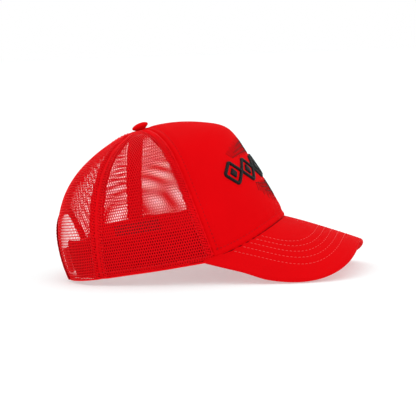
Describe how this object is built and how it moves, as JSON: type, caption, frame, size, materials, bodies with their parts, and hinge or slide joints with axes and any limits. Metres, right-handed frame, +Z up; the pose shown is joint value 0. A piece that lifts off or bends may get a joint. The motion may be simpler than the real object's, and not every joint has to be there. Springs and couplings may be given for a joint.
{
  "type": "trucker cap",
  "caption": "Trucker cap with a foam-backed front panel, mesh sides and back, curved visor and a snap strap across the rear opening.",
  "frame": {"origin": "bottom centre of the whole cap's box, as it stands on a table on its back hem and visor edges", "axes": "+X towards the visor's tip, +Y to the wearer's left, +Z up"},
  "size_m": [0.2669, 0.171, 0.1352],
  "materials": {
    "red_cloth": "smooth polyester twill",
    "white_foam": "open cell foam backing",
    "lining": "thin knitted scrim",
    "red_mesh": "open polyester mesh",
    "red_tape": "woven tape",
    "board": "visor board",
    "tinplate": "stamped",
    "strap_plastic": "moulded polyethylene",
    "black_label": "woven label",
    "white_label": "printed satin, blank",
    "black_thread": "raised embroidery"
  },
  "bodies": {
    "cap": {"front_panel_fabric": "red_cloth", "front_panel_foam": "white_foam", "front_panel_lining": "lining", "mesh_side_right": "red_mesh", "mesh_side_left": "red_mesh", "mesh_back_right": "red_mesh", "mesh_back_left": "red_mesh", "seam_tape_front_right": "red_tape", "seam_tape_front_left": "red_tape", "seam_tape_back_right": "red_tape", "seam_tape_back_left": "red_tape", "seam_tape_centre_back": "red_tape", "arch_binding": "red_tape", "sweatband_face": "red_cloth", "sweatband_foam": "white_foam", "visor_top_cover": "red_cloth", "visor_board": "board", "visor_under_cover": "red_cloth", "button_cover": "red_cloth", "button_shell": "tinplate", "button_post": "tinplate", "button_washer": "tinplate", "strap_holes_tab": "strap_plastic", "strap_pegs_tab": "strap_plastic", "inner_label": "black_label", "care_label": "white_label", "front_emblem": "black_thread"},
    "strap_right": {"strap_holes": "strap_plastic"},
    "strap_left": {"strap_pegs": "strap_plastic"}
  },
  "joints": [
    {"name": "strap_right_bend", "type": "hinge", "parent": "cap", "child": "strap_right", "pos_m": [-0.11918, -0.0385, 0.01902], "axis": [-0.1374, 0, 0.9905], "range_deg": [0, 60], "stiffness_Nm_per_rad": 0.01},
    {"name": "strap_left_bend", "type": "hinge", "parent": "cap", "child": "strap_left", "pos_m": [-0.1175, 0.0385, 0.01926], "axis": [-0.1374, 0, 0.9905], "range_deg": [0, 60], "stiffness_Nm_per_rad": 0.01}
  ]
}
